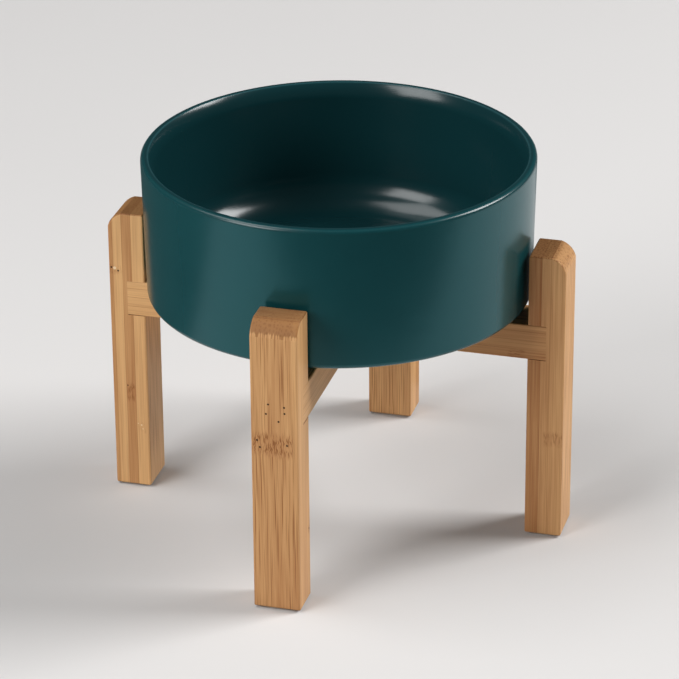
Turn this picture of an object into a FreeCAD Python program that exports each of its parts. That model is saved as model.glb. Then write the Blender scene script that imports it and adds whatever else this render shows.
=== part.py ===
import FreeCAD, Part
import math
import os

# Dog bowl with stand: a glazed ceramic bowl that rests in a bamboo stand of two crossed frames.
# Millimetres, +Z up. The origin is on the floor below the middle of the bowl, with +X towards the
# right leg and -Y towards the front leg.

# Bamboo stock that the legs and the bars are cut from
stock_width = 25.0
stock_thickness = 20.0
edge_ease = 0.8

# Stand
leg_top_height = 164.3
leg_crown_width = 7.8
leg_crown_drop = 8.2
leg_crown_rise = 2.7
leg_crown_radius = 10.0
leg_crease_radius = 1.2
leg_corner_radius = 1.0
bar_top_height = 124.7
bowl_side_clearance = 1.4
housing_depth_share = 0.5
lap_depth_share = 0.5
lap_side_clearance = 0.2

# Dowels of the housed joints
dowel_diameter = 6.0
dowel_length = 20.0
dowel_leg_depth = 6.0
dowel_chamfer = 0.7
dowel_spacing_share = 0.48
dowel_side_clearance = 0.1
dowel_end_clearance = 0.5

# Foot pads
pad_thickness = 1.0
pad_inset = 1.6
pad_corner_radius = 2.0

# Bowl
bowl_rim_diameter = 209.0
bowl_height = 82.8
bowl_wall_taper = 1.7
bowl_rim_thickness = 4.1
bowl_base_wall = 7.4
bowl_floor_thickness = 6.0
bowl_inner_corner_radius = 20.0
bowl_base_edge_radius = 3.0
lip_outer_radius = 2.2
lip_inner_radius = 0.8
lip_flare_width = 2.9
lip_flare_depth = 4.6
lip_flare_radius = 15.0
foot_ring_height = 4.7
foot_ring_inset = 19.0
foot_ring_width = 7.0
foot_ring_draft = 1.2
foot_edge_radius = 1.2
foot_root_radius = 1.4

# Cuts run past the faces that they open by this much
cut_overrun = 2.0

# Places worked out from the sizes above
bowl_rim_radius = bowl_rim_diameter / 2
leg_inner = bowl_rim_radius + bowl_side_clearance
leg_outer = leg_inner + stock_thickness
housing_depth = stock_thickness * housing_depth_share
bar_half_length = leg_inner + housing_depth
bar_bottom_height = bar_top_height - stock_thickness
bar_middle_height = bar_top_height - stock_thickness / 2
lap_depth = stock_thickness * lap_depth_share
lap_height = bar_top_height - lap_depth
lap_width = stock_width + 2 * lap_side_clearance
dowel_offset = stock_width * dowel_spacing_share / 2
dowel_hole_radius = dowel_diameter / 2 + dowel_side_clearance
dowel_outer_end = bar_half_length + dowel_leg_depth
dowel_inner_end = dowel_outer_end - dowel_length

ORIGIN = FreeCAD.Vector(0, 0, 0)
ALONG_X = FreeCAD.Vector(1, 0, 0)
ALONG_Y = FreeCAD.Vector(0, 1, 0)
ALONG_Z = FreeCAD.Vector(0, 0, 1)
TOLERANCE = 0.001

# Each leg is made on the +X side and turned about Z to its own side
LEG_TURNS = {"right": 0, "back": 90, "left": 180, "front": 270}


def rounded_face(corners):
    """Face in the XZ plane inside a closed outline of (x, z, rounding radius) corners."""
    points = [FreeCAD.Vector(x, 0, z) for x, z, radius in corners]
    count = len(points)
    stretches = []
    for index, (x, z, radius) in enumerate(corners):
        corner = points[index]
        if not radius:
            stretches.append([corner])
            continue
        back = (points[index - 1] - corner).normalize()
        ahead = (points[(index + 1) % count] - corner).normalize()
        half_angle = back.getAngle(ahead) / 2
        inward = (back + ahead).normalize()
        reach = radius / math.tan(half_angle)
        deepest = radius / math.sin(half_angle) - radius
        stretches.append([corner + back * reach, corner + inward * deepest, corner + ahead * reach])
    edges = []
    for index, stretch in enumerate(stretches):
        if len(stretch) > 1:
            edges.append(Part.Arc(*stretch).toShape())
        following = stretches[(index + 1) % count][0]
        edges.append(Part.LineSegment(stretch[-1], following).toShape())
    return Part.Face(Part.Wire(edges))


def edges_along(shape, direction):
    """Straight edges of a shape that run along a direction."""
    return [edge for edge in shape.Edges
            if edge.tangentAt(edge.FirstParameter).isParallel(direction, TOLERANCE)]


def turned(shape, angle):
    """Copy of a shape turned about the vertical axis through the origin."""
    copy = shape.copy()
    copy.rotate(ORIGIN, ALONG_Z, angle)
    return copy


def dowel_places():
    """Axis start points of the two dowels of the joint on the +X side, at the dowels' inner ends."""
    return [FreeCAD.Vector(dowel_inner_end, side * dowel_offset, bar_middle_height) for side in (-1, 1)]


def dowel_holes():
    """Tools that bore both dowel holes of the joint on the +X side, into the bar's end and the leg."""
    length = dowel_length + dowel_end_clearance
    step_back = ALONG_X * dowel_end_clearance
    bores = [Part.makeCylinder(dowel_hole_radius, length, place - step_back, ALONG_X)
             for place in dowel_places()]
    return Part.makeCompound(bores)


def make_dowel(place):
    """Wooden dowel with chamfered ends, along +X from its inner end."""
    pin = Part.makeCylinder(dowel_diameter / 2, dowel_length, place, ALONG_X)
    ends = [edge for edge in pin.Edges if isinstance(edge.Curve, Part.Circle)]
    return pin.makeChamfer(dowel_chamfer, ends)


def leg_outline():
    """Corners of the side outline of the leg on the +X side, whose outer top corner is crowned."""
    low = FreeCAD.Vector(leg_outer, 0, leg_top_height - leg_crown_drop)
    high = FreeCAD.Vector(leg_outer - leg_crown_width, 0, leg_top_height)
    slope = (low - high).normalize()
    peak = (low + high) / 2 + slope.cross(ALONG_Y) * leg_crown_rise
    return [
        (leg_inner, pad_thickness, leg_corner_radius),
        (leg_outer, pad_thickness, leg_corner_radius),
        (low.x, low.z, leg_crease_radius),
        (peak.x, peak.z, leg_crown_radius),
        (high.x, high.z, leg_crease_radius),
        (leg_inner, leg_top_height, leg_corner_radius),
    ]


def make_leg():
    """Leg on the +X side: crowned outer top corner, eased edges, a housing for the bar, dowel holes."""
    outline = rounded_face(leg_outline())
    outline.translate(ALONG_Y * (-stock_width / 2))
    blank = outline.extrude(ALONG_Y * stock_width)
    sides = [face for face in blank.Faces if abs(face.CenterOfMass.y) > stock_width / 2 - TOLERANCE]
    blank = blank.makeFillet(edge_ease, [edge for face in sides for edge in face.Edges])
    housing = Part.makeBox(
        housing_depth + cut_overrun, stock_width + 2 * cut_overrun, stock_thickness,
        FreeCAD.Vector(leg_inner - cut_overrun, -stock_width / 2 - cut_overrun, bar_bottom_height))
    return blank.cut(housing).cut(dowel_holes())


def make_bar(lap_bottom, lap_top):
    """Bar along X with eased long edges, a half-lap notch at its middle and dowel holes in its ends."""
    bar = Part.makeBox(2 * bar_half_length, stock_width, stock_thickness,
                       FreeCAD.Vector(-bar_half_length, -stock_width / 2, bar_bottom_height))
    bar = bar.makeFillet(edge_ease, edges_along(bar, ALONG_X))
    notch = Part.makeBox(lap_width, stock_width + 2 * cut_overrun, lap_top - lap_bottom,
                         FreeCAD.Vector(-lap_width / 2, -stock_width / 2 - cut_overrun, lap_bottom))
    holes = dowel_holes()
    return bar.cut(notch).cut(holes).cut(turned(holes, LEG_TURNS["left"]))


def make_foot_pad():
    """Thin pad under the leg on the +X side, set in from the leg's edges."""
    length = stock_thickness - 2 * pad_inset
    width = stock_width - 2 * pad_inset
    pad = Part.makeBox(length, width, pad_thickness,
                       FreeCAD.Vector(leg_inner + pad_inset, -width / 2, 0))
    return pad.makeFillet(pad_corner_radius, edges_along(pad, ALONG_Z))


def make_bowl():
    """Bowl turned about Z: foot ring, rounded base edge, slightly tapered wall, lip flared on the inside."""
    seat = bar_top_height
    rim_top = seat + bowl_height
    underside = seat + foot_ring_height
    inner_floor = underside + bowl_floor_thickness
    base_radius = bowl_rim_radius - bowl_wall_taper
    foot_outer = base_radius - foot_ring_inset
    foot_inner = foot_outer - foot_ring_width
    lip_inner = bowl_rim_radius - bowl_rim_thickness
    profile = rounded_face([
        (0, underside, 0),
        (foot_inner - foot_ring_draft, underside, foot_root_radius),
        (foot_inner, seat, foot_edge_radius),
        (foot_outer, seat, foot_edge_radius),
        (foot_outer + foot_ring_draft, underside, foot_root_radius),
        (base_radius, underside, bowl_base_edge_radius),
        (bowl_rim_radius, rim_top, lip_outer_radius),
        (lip_inner, rim_top, lip_inner_radius),
        (lip_inner - lip_flare_width, rim_top - lip_flare_depth, lip_flare_radius),
        (base_radius - bowl_base_wall, inner_floor, bowl_inner_corner_radius),
        (0, inner_floor, 0),
    ])
    return profile.revolve(ORIGIN, ALONG_Z, 360)


def make_parts():
    """All solids of the bowl and its stand, by node name."""
    parts = {"bowl": make_bowl()}
    parts["lower_cross_bar"] = make_bar(lap_height, bar_top_height + cut_overrun)
    upper_bar = make_bar(bar_bottom_height - cut_overrun, lap_height)
    parts["upper_cross_bar"] = turned(upper_bar, LEG_TURNS["back"])
    leg = make_leg()
    foot_pad = make_foot_pad()
    dowels = [make_dowel(place) for place in dowel_places()]
    for side, angle in LEG_TURNS.items():
        parts[side + "_leg"] = turned(leg, angle)
        parts[side + "_foot_pad"] = turned(foot_pad, angle)
        for number, dowel in enumerate(dowels, start=1):
            parts[side + "_leg_dowel_" + str(number)] = turned(dowel, angle)
    return parts


os.makedirs("parts", exist_ok=True)
for node, solid in make_parts().items():
    solid.exportStep("parts/" + node + ".step")
    print(node, "valid" if solid.isValid() else "not valid", round(solid.Volume, 1))
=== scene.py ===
"""Dresses a dog bowl and its bamboo stand: meshes, finishes, floor, lights and camera."""

import logging
import math
from dataclasses import dataclass, field
from enum import Enum
from typing import Any, Callable, Optional, Sequence, Union

import bmesh
import bpy
from mathutils import Matrix, Vector


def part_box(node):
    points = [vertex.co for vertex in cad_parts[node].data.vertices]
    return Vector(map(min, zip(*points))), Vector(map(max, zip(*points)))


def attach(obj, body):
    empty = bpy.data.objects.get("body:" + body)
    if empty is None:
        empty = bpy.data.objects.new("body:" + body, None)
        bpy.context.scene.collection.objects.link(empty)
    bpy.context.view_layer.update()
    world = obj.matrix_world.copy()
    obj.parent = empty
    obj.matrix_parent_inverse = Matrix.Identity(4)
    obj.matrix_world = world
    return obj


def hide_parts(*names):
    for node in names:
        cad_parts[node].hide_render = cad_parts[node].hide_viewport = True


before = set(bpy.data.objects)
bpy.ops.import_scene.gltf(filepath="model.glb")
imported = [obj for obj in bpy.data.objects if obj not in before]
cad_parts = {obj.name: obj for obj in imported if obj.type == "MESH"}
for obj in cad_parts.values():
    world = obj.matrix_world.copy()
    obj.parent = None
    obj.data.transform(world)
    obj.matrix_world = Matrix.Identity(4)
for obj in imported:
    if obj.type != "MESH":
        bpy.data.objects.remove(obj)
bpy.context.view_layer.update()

log = logging.getLogger("dog_bowl")

MM = 0.001
WELD_DISTANCE = 0.001 * MM
PICK_DISTANCE = 0.01 * MM
CUT_OVERRUN = 2.0 * MM
BORE_SIDES = 32
DOWEL_NUMBERS = (1, 2)
SMOOTH_ANGLE = math.radians(38)
UPRIGHT = Vector((0, 0, 1))
NOISE_MIDDLE = 0.5

Colour = tuple[float, float, float]
Place = tuple[float, float, float]
Number = Union["Wire", float]
Test = Callable[[Vector], bool]


class Side(Enum):
    """Sides of the stand, as the turn about the upright axis from the right-hand leg, in degrees."""

    RIGHT = 0
    BACK = 90
    LEFT = 180
    FRONT = 270

    @property
    def turn(self) -> float:
        """Turn in radians."""
        return math.radians(self.value)

    @property
    def word(self) -> str:
        """Name of the side as the pieces carry it."""
        return self.name.lower()


class Fibres(Enum):
    """Ways that the fibres of a wooden piece run."""

    UPRIGHT = "upright"
    LYING = "lying"


class Face(Enum):
    """Faces of a strip of bamboo."""

    BROAD = "broad"
    EDGE = "edge"


class Wire:
    """A number that a node puts out, which Python's operators turn into Math nodes."""

    def __init__(self, shader: "Shader", socket: bpy.types.NodeSocket) -> None:
        """Keep the socket and the shader that it belongs to."""
        self.shader = shader
        self.socket = socket

    def maths(self, operation: str, *terms: Number) -> "Wire":
        """Add a Math node.

        Args:
            operation: Blender's name for the sum.
            terms: Wires or plain numbers, in the node's own order.

        Returns:
            The node's result.
        """
        node = self.shader.node("ShaderNodeMath", {"operation": operation}, dict(enumerate(terms)))
        return Wire(self.shader, node.outputs[0])

    def __add__(self, other: Number) -> "Wire":
        """Sum."""
        return self.maths("ADD", self, other)

    def __radd__(self, other: Number) -> "Wire":
        """Sum with a plain number first."""
        return self.maths("ADD", other, self)

    def __sub__(self, other: Number) -> "Wire":
        """Difference."""
        return self.maths("SUBTRACT", self, other)

    def __rsub__(self, other: Number) -> "Wire":
        """Difference from a plain number."""
        return self.maths("SUBTRACT", other, self)

    def __mul__(self, other: Number) -> "Wire":
        """Product."""
        return self.maths("MULTIPLY", self, other)

    def __rmul__(self, other: Number) -> "Wire":
        """Product with a plain number first."""
        return self.maths("MULTIPLY", other, self)

    def __truediv__(self, other: Number) -> "Wire":
        """Quotient."""
        return self.maths("DIVIDE", self, other)

    def __pow__(self, other: Number) -> "Wire":
        """Power."""
        return self.maths("POWER", self, other)

    def __abs__(self) -> "Wire":
        """Size without its sign."""
        return self.maths("ABSOLUTE", self)

    def larger(self, other: Number) -> "Wire":
        """The larger of two numbers."""
        return self.maths("MAXIMUM", self, other)

    def rises(self, low: float, high: float) -> "Wire":
        """Soft step from 0 at the low value to 1 at the high one.

        Args:
            low: Value where the step starts.
            high: Value where it ends.

        Returns:
            The step's height.
        """
        sockets = {"Value": self, "From Min": low, "From Max": high}
        node = self.shader.node("ShaderNodeMapRange", {"interpolation_type": "SMOOTHSTEP"}, sockets)
        return Wire(self.shader, node.outputs["Result"])

    def falls(self, low: float, high: float) -> "Wire":
        """Soft step from 1 at the low value to 0 at the high one."""
        return 1 - self.rises(low, high)

    def past(self, edge: float, blur: float) -> "Wire":
        """Soft step from 0 to 1 that is centred on an edge."""
        return self.rises(edge - blur, edge + blur)

    def near(self, middle: Number, core: float, reach: float) -> "Wire":
        """Soft band around a value.

        Args:
            middle: Value at the band's middle.
            core: Distance from the middle up to which the band is full.
            reach: Distance from the middle where the band ends.

        Returns:
            The band's strength, from 0 to 1.
        """
        return abs(self - middle).falls(core, reach)


Link = Union[Wire, bpy.types.NodeSocket, float, Sequence[float]]


class Shader:
    """A material made of nodes."""

    MIX_FIRST = 6
    MIX_SECOND = 7
    MIX_RESULT = 2

    def __init__(self, name: str) -> None:
        """Start an empty material.

        Args:
            name: Name of the material.
        """
        self.material = bpy.data.materials.new(name)
        self.material.use_nodes = True
        self.tree = self.material.node_tree
        self.tree.nodes.clear()
        self.texture = self.node("ShaderNodeTexCoord")

    def node(self, kind: str, settings: Optional[dict[str, Any]] = None,
             sockets: Optional[dict[Union[str, int], Link]] = None) -> bpy.types.Node:
        """Add any node.

        Args:
            kind: Blender's name for the node type.
            settings: The node's own settings, set first; a ramp's stops go under "stops".
            sockets: Values or links of its inputs, by name or number.

        Returns:
            The new node.
        """
        made = self.tree.nodes.new(kind)
        for key, value in (settings or {}).items():
            if key == "stops":
                self._set_stops(made.color_ramp, value)
            else:
                setattr(made, key, value)
        for key, value in (sockets or {}).items():
            self._feed(made.inputs[key], value)
        return made

    @staticmethod
    def _set_stops(ramp: bpy.types.ColorRamp, stops: Sequence[tuple[float, float]]) -> None:
        """Give a ramp its grey stops.

        Args:
            ramp: The ramp of a new node.
            stops: Pairs of position and value.
        """
        while len(ramp.elements) < len(stops):
            ramp.elements.new(1)
        for element, (position, value) in zip(ramp.elements, stops):
            element.position = position
            element.color = (value, value, value, 1)

    def _feed(self, socket: bpy.types.NodeSocket, value: Link) -> None:
        """Link a socket, or set its plain value.

        Args:
            socket: Input of a new node.
            value: The wire or socket that it is linked to, or the value that it is set to.
        """
        if isinstance(value, Wire):
            value = value.socket
        if isinstance(value, bpy.types.NodeSocket):
            self.tree.links.new(value, socket)
        elif socket.type == "RGBA":
            socket.default_value = (*value, 1)
        else:
            socket.default_value = value

    def place(self, turn: Matrix = Matrix.Identity(3), shift: Place = (0, 0, 0)) -> bpy.types.NodeSocket:
        """Object coordinates in millimetres, turned and then shifted.

        Args:
            turn: Rotation from the object's axes to the pattern's.
            shift: Millimetres added afterwards.

        Returns:
            The vector socket.
        """
        scale = (1 / MM, 1 / MM, 1 / MM)
        sockets = {"Vector": self.texture.outputs["Object"], "Location": shift,
                   "Rotation": turn.to_euler(), "Scale": scale}
        return self.node("ShaderNodeMapping", {"vector_type": "POINT"}, sockets).outputs[0]

    def facing(self, turn: Matrix) -> tuple[Wire, Wire, Wire]:
        """Parts of the surface's own normal along the pattern's axes."""
        sockets = {"Vector": self.texture.outputs["Normal"], "Rotation": turn.to_euler()}
        return self.split(self.node("ShaderNodeMapping", {"vector_type": "POINT"}, sockets).outputs[0])

    def split(self, vector: bpy.types.NodeSocket) -> tuple[Wire, Wire, Wire]:
        """The three parts of a vector."""
        node = self.node("ShaderNodeSeparateXYZ", sockets={0: vector})
        return tuple(Wire(self, socket) for socket in node.outputs)

    def join(self, x: Number, y: Number, z: Number) -> bpy.types.NodeSocket:
        """A vector from its three parts."""
        return self.node("ShaderNodeCombineXYZ", sockets={0: x, 1: y, 2: z}).outputs[0]

    def noise(self, vector: bpy.types.NodeSocket, detail: float = 2.0, scale: float = 1.0) -> Wire:
        """Soft noise from 0 to 1 whose features are about one unit over the scale.

        Args:
            vector: Where to read the noise.
            detail: How many finer layers it has.
            scale: How many features fit in one unit.

        Returns:
            The noise value.
        """
        sockets = {"Vector": vector, "Scale": scale, "Detail": detail}
        return Wire(self, self.node("ShaderNodeTexNoise", sockets=sockets).outputs[0])

    def cells(self, vector: bpy.types.NodeSocket) -> tuple[Wire, Wire]:
        """Points scattered over a plane, about one unit apart.

        Args:
            vector: Where to read the cells.

        Returns:
            The distance to the nearest point, and that point's own chance value from 0 to 1.
        """
        settings = {"voronoi_dimensions": "2D", "feature": "F1"}
        node = self.node("ShaderNodeTexVoronoi", settings, {"Vector": vector, "Scale": 1.0})
        chance = self.node("ShaderNodeSeparateColor", sockets={0: node.outputs["Color"]})
        return Wire(self, node.outputs["Distance"]), Wire(self, chance.outputs[0])

    def distance(self, vector: bpy.types.NodeSocket, spot: Place) -> Wire:
        """Distance from a vector to a fixed spot."""
        node = self.node("ShaderNodeVectorMath", {"operation": "DISTANCE"}, {0: vector, 1: spot})
        return Wire(self, node.outputs["Value"])

    def ramp(self, value: Wire, stops: Sequence[tuple[float, float]]) -> Wire:
        """A grey ramp through stops of position and value, both from 0 to 1."""
        node = self.node("ShaderNodeValToRGB", {"stops": stops}, {0: value})
        return Wire(self, node.outputs["Color"])

    def blend(self, share: Number, first: Link, second: Link, mode: str = "MIX") -> bpy.types.NodeSocket:
        """Mix two colours.

        Args:
            share: How much of the second colour shows.
            first: Colour under the mix.
            second: Colour laid over it.
            mode: Blender's name for the way of mixing.

        Returns:
            The mixed colour.
        """
        settings = {"data_type": "RGBA", "blend_type": mode, "clamp_factor": True}
        sockets = {0: share, self.MIX_FIRST: first, self.MIX_SECOND: second}
        return self.node("ShaderNodeMix", settings, sockets).outputs[self.MIX_RESULT]

    def relief(self, height: Wire, depth: float) -> bpy.types.NodeSocket:
        """Normal of a relief whose heights from 0 to 1 span a depth in metres."""
        sockets = {"Distance": depth, "Strength": 1.0, "Height": height}
        return self.node("ShaderNodeBump", sockets=sockets).outputs[0]

    def shell(self, colour: bpy.types.NodeSocket, roughness: Wire,
              normal: Optional[bpy.types.NodeSocket] = None, **constants: Link) -> bpy.types.NodeSocket:
        """Make a surface.

        Args:
            colour: Base colour.
            roughness: Roughness over the surface.
            normal: Normal that carries the relief, if there is one.
            constants: Other values of the surface's sockets, with _ for a space.

        Returns:
            The surface's socket.
        """
        sockets: dict[Union[str, int], Link] = {"Base Color": colour, "Roughness": roughness}
        if normal is not None:
            sockets["Normal"] = normal
        for key, value in constants.items():
            sockets[key.replace("_", " ")] = value
        return self.node("ShaderNodeBsdfPrincipled", sockets=sockets).outputs[0]

    def close(self, surface: bpy.types.NodeSocket) -> bpy.types.Material:
        """Finish the material with its surface."""
        self.node("ShaderNodeOutputMaterial", sockets={"Surface": surface})
        return self.material


@dataclass(frozen=True)
class Lamella:
    """One strip of the laminated stock, in millimetres from the piece's inner or upper face."""

    start: float
    tone: float
    end_tone: float


@dataclass(frozen=True)
class Mark:
    """A small dark pore, or a knot's pale core, at a (depth, across, along) place in millimetres."""

    depth: float
    across: float
    along: float
    radius: float = 0.5
    pale: bool = False


@dataclass(frozen=True)
class CulmJoint:
    """A band of broken ripples where the culm had a joint, in millimetres along and across a strip."""

    along: float
    half_height: float
    low: float
    high: float
    face: Face = Face.BROAD
    strength: float = 1.0


@dataclass(frozen=True)
class Grain:
    """How the bamboo pattern lies on one piece.

    The pattern's axes are depth from the piece's inner or upper face, across it and along its fibres.
    """

    side: Side
    fibres: Fibres
    first_face: float
    stock: float
    seed: float
    lamellae: tuple[Lamella, ...]
    joints: tuple[CulmJoint, ...]
    marks: tuple[Mark, ...] = ()
    strip_edge: Optional[float] = None
    strip_lean: float = 0.0
    strip_tone: float = 0.0
    tone_slope: float = 0.0
    tone_pivot: float = 0.0
    end_pores: float = 0.5
    crown_shade: float = 1.0

    @property
    def turn(self) -> Matrix:
        """Rotation from the frame's axes to the pattern's.

        Returns:
            The rotation.
        """
        level = Matrix.Rotation(-self.side.turn, 3, "Z")
        if self.fibres is Fibres.LYING:
            return Matrix.Rotation(-math.pi / 2, 3, "Y") @ level
        return level

    @property
    def shift(self) -> Place:
        """Millimetres that bring the piece's first face to a depth of zero."""
        return (-self.first_face / MM, 0, 0)


@dataclass
class Ground:
    """What the bamboo pattern of one piece is drawn on; places are in millimetres.

    Width runs across the fibres on whichever face shows. Flow runs along them and takes up the ripples.
    """

    shader: Shader
    grain: Grain
    depth: Wire
    across: Wire
    along: Wire
    broad: Wire
    joint: Number = 0.0
    width: Wire = field(init=False)
    flow: Wire = field(init=False)

    def __post_init__(self) -> None:
        """Start with straight fibres."""
        self.width = self.across * self.broad + self.depth * (1 - self.broad)
        self.flow = self.along

    def sway(self, across: Wire, along: Wire, detail: float = 2.0) -> Wire:
        """Noise around zero, at a place counted in the noise's own steps across and along."""
        where = self.shader.join(across, along, self.grain.seed)
        return self.shader.noise(where, detail) - NOISE_MIDDLE

    def fray(self, across: Wire) -> Wire:
        """Noise around zero that changes only across the fibres."""
        where = self.shader.join(across, self.grain.seed, 0.0)
        return self.shader.noise(where, detail=1.0) - NOISE_MIDDLE


@dataclass(frozen=True)
class BambooFinish:
    """Sanded laminated bamboo under a thin matt lacquer; pitches and runs are in millimetres.

    The streak, glue and end-grain colours multiply what lies under them.
    """

    pale: Colour = (0.73, 0.425, 0.185)
    brown: Colour = (0.37, 0.14, 0.042)
    streak: Colour = (0.47, 0.31, 0.18)
    glue: Colour = (0.66, 0.52, 0.40)
    crown: Colour = (0.54, 0.44, 0.33)
    end: Colour = (0.54, 0.48, 0.44)
    pore: Colour = (0.045, 0.016, 0.006)
    knot: Colour = (0.84, 0.64, 0.40)
    streak_pitch: float = 1.2
    streak_run: float = 84.0
    streak_core: float = 0.10
    streak_edge: float = 0.26
    streak_least: float = 0.35
    hair_pitch: float = 0.7
    hair_run: float = 55.0
    hair_share: float = 0.8
    side_share: float = 0.28
    strip_blur: float = 0.15
    strip_calm: float = 0.7
    fibre_pitch: float = 0.5
    fibre_run: float = 26.0
    fibre_strength: float = 0.42
    line_pitch: float = 1.5
    line_run: float = 85.0
    line_strength: float = 0.75
    cloud_pitch: float = 8.0
    cloud_run: float = 70.0
    cloud_strength: float = 0.34
    wander: float = 0.45
    wander_pitch: float = 70.0
    wander_run: float = 45.0
    blotch_pitch: float = 0.62
    blotch_run: float = 4.6
    blotch_low: float = 0.46
    blotch_high: float = 0.62
    blotch_strength: float = 0.85
    joint_blur: float = 0.9
    joint_core: float = 0.4
    joint_ragged: float = 5.0
    joint_shade: float = 0.16
    ripple: float = 1.9
    ripple_pitch: float = 3.0
    ripple_drift: float = 1.2
    stop_gap: float = 0.004
    glue_width: float = 0.24
    glue_strength: float = 0.8
    dot_pitch: float = 1.5
    dot_core: float = 0.14
    dot_edge: float = 0.42
    dot_least: float = 0.5
    dot_strength: float = 0.9
    dot_patch: float = 9.0
    patch_low: float = 0.3
    patch_high: float = 0.5
    mark_core: float = 0.8
    mark_edge: float = 1.4
    ring_pitch: float = 1.7
    ring_run: float = 22.0
    ring_strength: float = 0.7
    broad_start: float = 0.55
    broad_full: float = 0.8
    end_start: float = 0.88
    end_full: float = 0.97
    end_tone: float = 0.62
    end_evenness: float = 0.6
    crown_start: float = 0.28
    crown_full: float = 0.44
    fringe_pitch: float = 1.0
    fringe_reach: float = 0.5
    roughness: float = 0.46
    streak_roughness: float = 0.10
    pore_roughness: float = 0.2
    fibre_roughness: float = 0.15
    gloss: float = 0.25
    relief: float = 0.12 * MM
    groove_depth: float = 0.3
    pore_depth: float = 0.7

    def material(self, name: str, grain: Grain) -> bpy.types.Material:
        """Make the bamboo of one piece.

        Args:
            name: Name of the material.
            grain: How the pattern lies on the piece.

        Returns:
            The material.
        """
        shader = Shader(name)
        spot = shader.place(grain.turn, grain.shift)
        outward, _, endways = (abs(part) for part in shader.facing(grain.turn))
        broad = outward.rises(self.broad_start, self.broad_full)
        ground = Ground(shader, grain, *shader.split(spot), broad)
        self._ripple(ground)
        flat = endways.rises(self.end_start, self.end_full)
        fringe = ground.fray(ground.across / self.fringe_pitch) * self.fringe_reach
        slope = (endways + fringe).rises(self.crown_start, self.crown_full)
        strip = self._strip(ground)
        streaks = self._streaks(ground) * (1 - slope) * (1 - strip * self.strip_calm)
        streaks = streaks * (1 - ground.joint) + self._blotches(ground)
        fibres = ground.sway(ground.width / self.fibre_pitch, ground.flow / self.fibre_run)
        lines = ground.sway(ground.width / self.line_pitch, ground.flow / self.line_run)
        texture = (fibres * self.fibre_strength + lines * self.line_strength) * (1 - slope)
        tone = self._tone(ground) + strip * grain.strip_tone + texture - ground.joint * self.joint_shade
        colour = shader.blend(self._even_ends(ground, tone, flat), self.brown, self.pale)
        colour = shader.blend(streaks, colour, self.streak, "MULTIPLY")
        glue = self._glue(ground) * (1 - broad)
        colour = shader.blend(glue * self.glue_strength, colour, self.glue, "MULTIPLY")
        shade = slope * (flat * (1 - grain.crown_shade) + grain.crown_shade)
        colour = shader.blend(shade, colour, shader.blend(flat, self.crown, self.end), "MULTIPLY")
        dots = self._dots(ground) * slope
        colour = shader.blend(dots * self.dot_strength, colour, self.streak, "MULTIPLY")
        pores = self._marks(shader, spot, [mark for mark in grain.marks if not mark.pale])
        colour = shader.blend(pores, colour, self.pore)
        cores = self._marks(shader, spot, [mark for mark in grain.marks if mark.pale])
        colour = shader.blend(cores, colour, self.knot)
        roughness = self.roughness + streaks * self.streak_roughness + fibres * self.fibre_roughness
        roughness = roughness + pores * self.pore_roughness
        grooves = (streaks + glue + dots - fibres) * self.groove_depth
        normal = shader.relief(1 - grooves - pores * self.pore_depth, self.relief)
        return shader.close(shader.shell(colour, roughness, normal, Specular_IOR_Level=self.gloss))

    def _ripple(self, ground: Ground) -> None:
        """Find the culm joints, let the fibres wander slowly and ripple them at the joints.

        Args:
            ground: The piece's ground, which gets its joints and its bent width and flow here.
        """
        ground.joint = self._joint_bands(ground)
        width, along = ground.width, ground.along
        drift = ground.sway(width / self.wander_pitch, along / self.wander_run, detail=1.0) * self.wander
        swirl = ground.sway(width / self.ripple_pitch, along / self.ripple_pitch, detail=1.0)
        swirl = swirl * ground.joint * self.ripple
        ground.width = width + drift + swirl
        ground.flow = along + swirl * self.ripple_drift

    def _joint_bands(self, ground: Ground) -> Number:
        """Find the culm joints, with ragged upper and lower edges.

        Args:
            ground: The piece's ground, with straight fibres.

        Returns:
            Strength of the joints' ripples over the piece.
        """
        total: Number = 0.0
        ragged = ground.along + ground.fray(ground.width / self.ripple_pitch) * self.joint_ragged
        for band in ground.grain.joints:
            shown = ground.broad if band.face is Face.BROAD else 1 - ground.broad
            strip = ground.width.past(band.low, self.joint_blur)
            strip = strip * (1 - ground.width.past(band.high, self.joint_blur))
            level = ragged.near(band.along, band.half_height * self.joint_core, band.half_height)
            total = level * strip * shown * band.strength + total
        return total

    def _strip(self, ground: Ground) -> Number:
        """Find the second strip that shows beside the first on the broad face.

        Args:
            ground: The piece's ground.

        Returns:
            1 on the second strip and 0 elsewhere.
        """
        grain = ground.grain
        if grain.strip_edge is None:
            return 0.0
        return (ground.across + ground.along * grain.strip_lean).past(grain.strip_edge, self.strip_blur)

    def _streaks(self, ground: Ground) -> Wire:
        """Draw dark fibre streaks, dense on the broad faces and faint on the side faces.

        Args:
            ground: The piece's ground.

        Returns:
            Strength of the streaks.
        """
        shader, seed = ground.shader, ground.grain.seed
        where = shader.join(ground.width / self.streak_pitch, ground.flow / self.streak_run + seed, 0.0)
        distance, chance = shader.cells(where)
        chance = chance * (1 - self.streak_least) + self.streak_least
        streaks = distance.falls(self.streak_core, self.streak_edge) * chance
        where = shader.join(ground.width / self.hair_pitch, ground.flow / self.hair_run - seed, 0.0)
        distance, chance = shader.cells(where)
        hairs = distance.falls(self.streak_core, self.streak_edge) * chance * self.hair_share
        share = ground.broad * (1 - self.side_share) + self.side_share
        return streaks.larger(hairs) * share

    def _blotches(self, ground: Ground) -> Wire:
        """Draw dark broken ripples inside the culm joints.

        Args:
            ground: The piece's ground.

        Returns:
            Strength of the ripples.
        """
        where = ground.shader.join(
            ground.width / self.blotch_pitch, ground.flow / self.blotch_run, ground.grain.seed)
        ripples = ground.shader.noise(where).rises(self.blotch_low, self.blotch_high)
        return ripples * ground.joint * self.blotch_strength

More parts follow.
